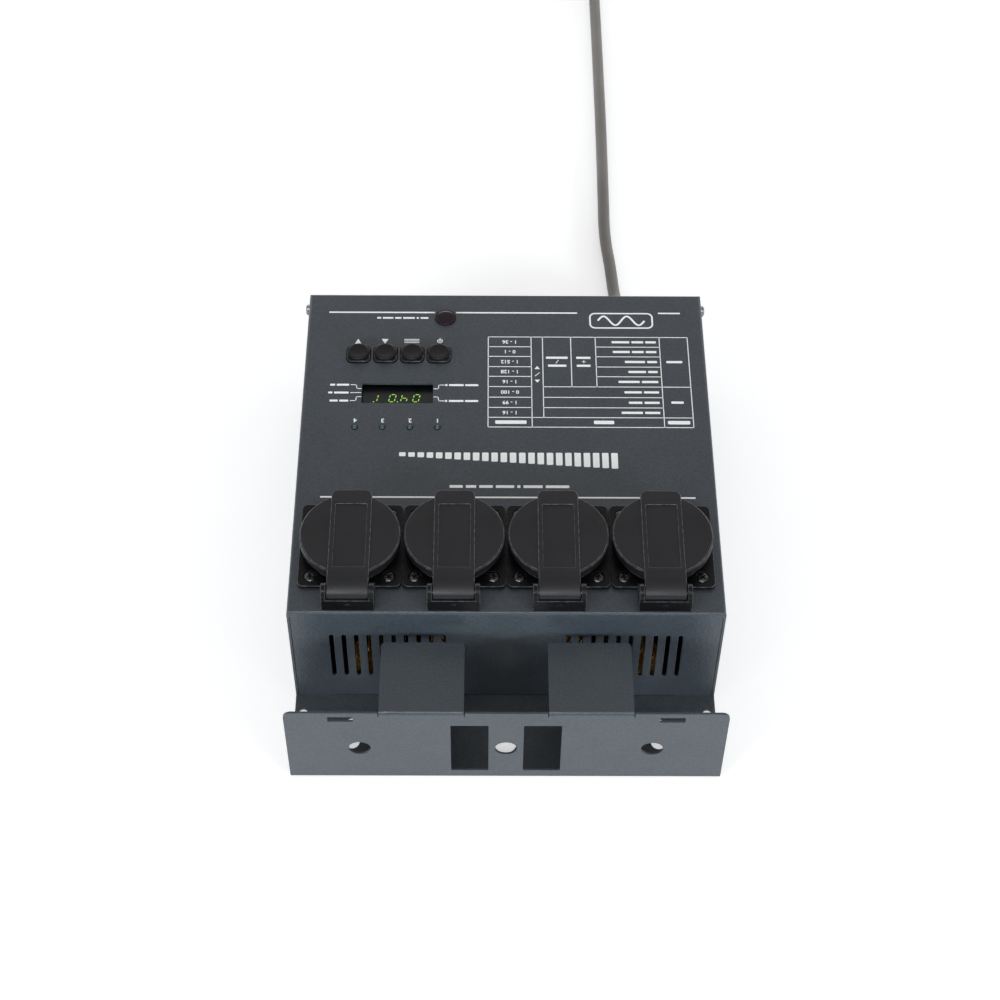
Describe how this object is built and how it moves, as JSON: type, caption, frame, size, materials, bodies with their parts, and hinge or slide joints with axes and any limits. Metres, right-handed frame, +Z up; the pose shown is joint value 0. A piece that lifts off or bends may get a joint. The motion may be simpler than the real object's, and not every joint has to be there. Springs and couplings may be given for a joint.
{
  "type": "dimmer pack",
  "caption": "Mains dimmer pack in folded steel, with sprung-lid sockets, button panel, display and a mounting plate.",
  "frame": {"origin": "on the standing surface, under the middle of the pack without its cord", "axes": "+Z up out of the control panel, +Y from the mounting plate towards the connector wall, +X to the right seen from the mounting plate"},
  "size_m": [0.2206, 0.7338, 0.0848],
  "materials": {
    "grey_paint": "satin grey-blue coat",
    "black_plastic": "moulded, fine grain",
    "lid_plastic": "moulded, fine grain",
    "black_screw": "black oxide",
    "bright_steel": "bright zinc",
    "button_plastic": "satin",
    "green_lamp": "tinted clear plastic",
    "lens_plastic": "dark translucent",
    "display_plastic": "dark filter",
    "circuit_board": "solder mask",
    "aluminium": "as extruded",
    "copper_wire": "lacquered wire",
    "nickel": "nickel plate",
    "cord_rubber": "satin jacket"
  },
  "bodies": {
    "pack": {"base_tray": "grey_paint", "top_cover": "grey_paint", "left_side_screw": "bright_steel", "right_side_screw": "bright_steel", "socket_body_1": "black_plastic", "hinge_pin_1": "bright_steel", "socket_1_screw_1": "black_screw", "socket_1_screw_2": "black_screw", "socket_1_screw_3": "black_screw", "socket_1_screw_4": "black_screw", "socket_body_2": "black_plastic", "hinge_pin_2": "bright_steel", "socket_2_screw_1": "black_screw", "socket_2_screw_2": "black_screw", "socket_2_screw_3": "black_screw", "socket_2_screw_4": "black_screw", "socket_body_3": "black_plastic", "hinge_pin_3": "bright_steel", "socket_3_screw_1": "black_screw", "socket_3_screw_2": "black_screw", "socket_3_screw_3": "black_screw", "socket_3_screw_4": "black_screw", "socket_body_4": "black_plastic", "hinge_pin_4": "bright_steel", "socket_4_screw_1": "black_screw", "socket_4_screw_2": "black_screw", "socket_4_screw_3": "black_screw", "socket_4_screw_4": "black_screw", "channel_led_1": "green_lamp", "channel_led_2": "green_lamp", "channel_led_3": "green_lamp", "channel_led_4": "green_lamp", "display": "display_plastic", "infrared_sensor": "lens_plastic", "control_board": "circuit_board", "power_board": "circuit_board", "heat_sink": "aluminium", "choke_1": "copper_wire", "choke_2": "copper_wire", "choke_3": "copper_wire", "choke_4": "copper_wire", "signal_input": "nickel", "signal_output": "nickel", "control_socket": "nickel", "fuse_holder_1": "black_plastic", "fuse_holder_2": "black_plastic", "fuse_holder_3": "black_plastic", "fuse_holder_4": "black_plastic", "cord_gland": "black_plastic", "mains_cord": "cord_rubber", "cord_coil": "cord_rubber", "mains_plug": "black_plastic"},
    "lid_1": {"socket_lid_1": "lid_plastic"},
    "lid_2": {"socket_lid_2": "lid_plastic"},
    "lid_3": {"socket_lid_3": "lid_plastic"},
    "lid_4": {"socket_lid_4": "lid_plastic"},
    "up_button_cap": {"up_button": "button_plastic"},
    "down_button_cap": {"down_button": "button_plastic"},
    "menu_button_cap": {"menu_button": "button_plastic"},
    "mode_button_cap": {"mode_button": "button_plastic"}
  },
  "joints": [
    {"name": "lid_1_hinge", "type": "hinge", "parent": "pack", "child": "lid_1", "pos_m": [-0.0756, -0.0848, 0.08], "axis": [1, 0, 0], "range_deg": [0, 100], "stiffness_Nm_per_rad": 0.01, "springref_deg": -28.65},
    {"name": "lid_2_hinge", "type": "hinge", "parent": "pack", "child": "lid_2", "pos_m": [-0.0252, -0.0848, 0.08], "axis": [1, 0, 0], "range_deg": [0, 100], "stiffness_Nm_per_rad": 0.01, "springref_deg": -28.65},
    {"name": "lid_3_hinge", "type": "hinge", "parent": "pack", "child": "lid_3", "pos_m": [0.0252, -0.0848, 0.08], "axis": [1, 0, 0], "range_deg": [0, 100], "stiffness_Nm_per_rad": 0.01, "springref_deg": -28.65},
    {"name": "lid_4_hinge", "type": "hinge", "parent": "pack", "child": "lid_4", "pos_m": [0.0756, -0.0848, 0.08], "axis": [1, 0, 0], "range_deg": [0, 100], "stiffness_Nm_per_rad": 0.01, "springref_deg": -28.65},
    {"name": "up_button_press", "type": "slide", "parent": "pack", "child": "up_button_cap", "axis": [0, 0, -1], "range_m": [0, 0.0008], "stiffness_N_per_m": 800, "springref_m": -0.001},
    {"name": "down_button_press", "type": "slide", "parent": "pack", "child": "down_button_cap", "axis": [0, 0, -1], "range_m": [0, 0.0008], "stiffness_N_per_m": 800, "springref_m": -0.001},
    {"name": "menu_button_press", "type": "slide", "parent": "pack", "child": "menu_button_cap", "axis": [0, 0, -1], "range_m": [0, 0.0008], "stiffness_N_per_m": 800, "springref_m": -0.001},
    {"name": "mode_button_press", "type": "slide", "parent": "pack", "child": "mode_button_cap", "axis": [0, 0, -1], "range_m": [0, 0.0008], "stiffness_N_per_m": 800, "springref_m": -0.001}
  ]
}
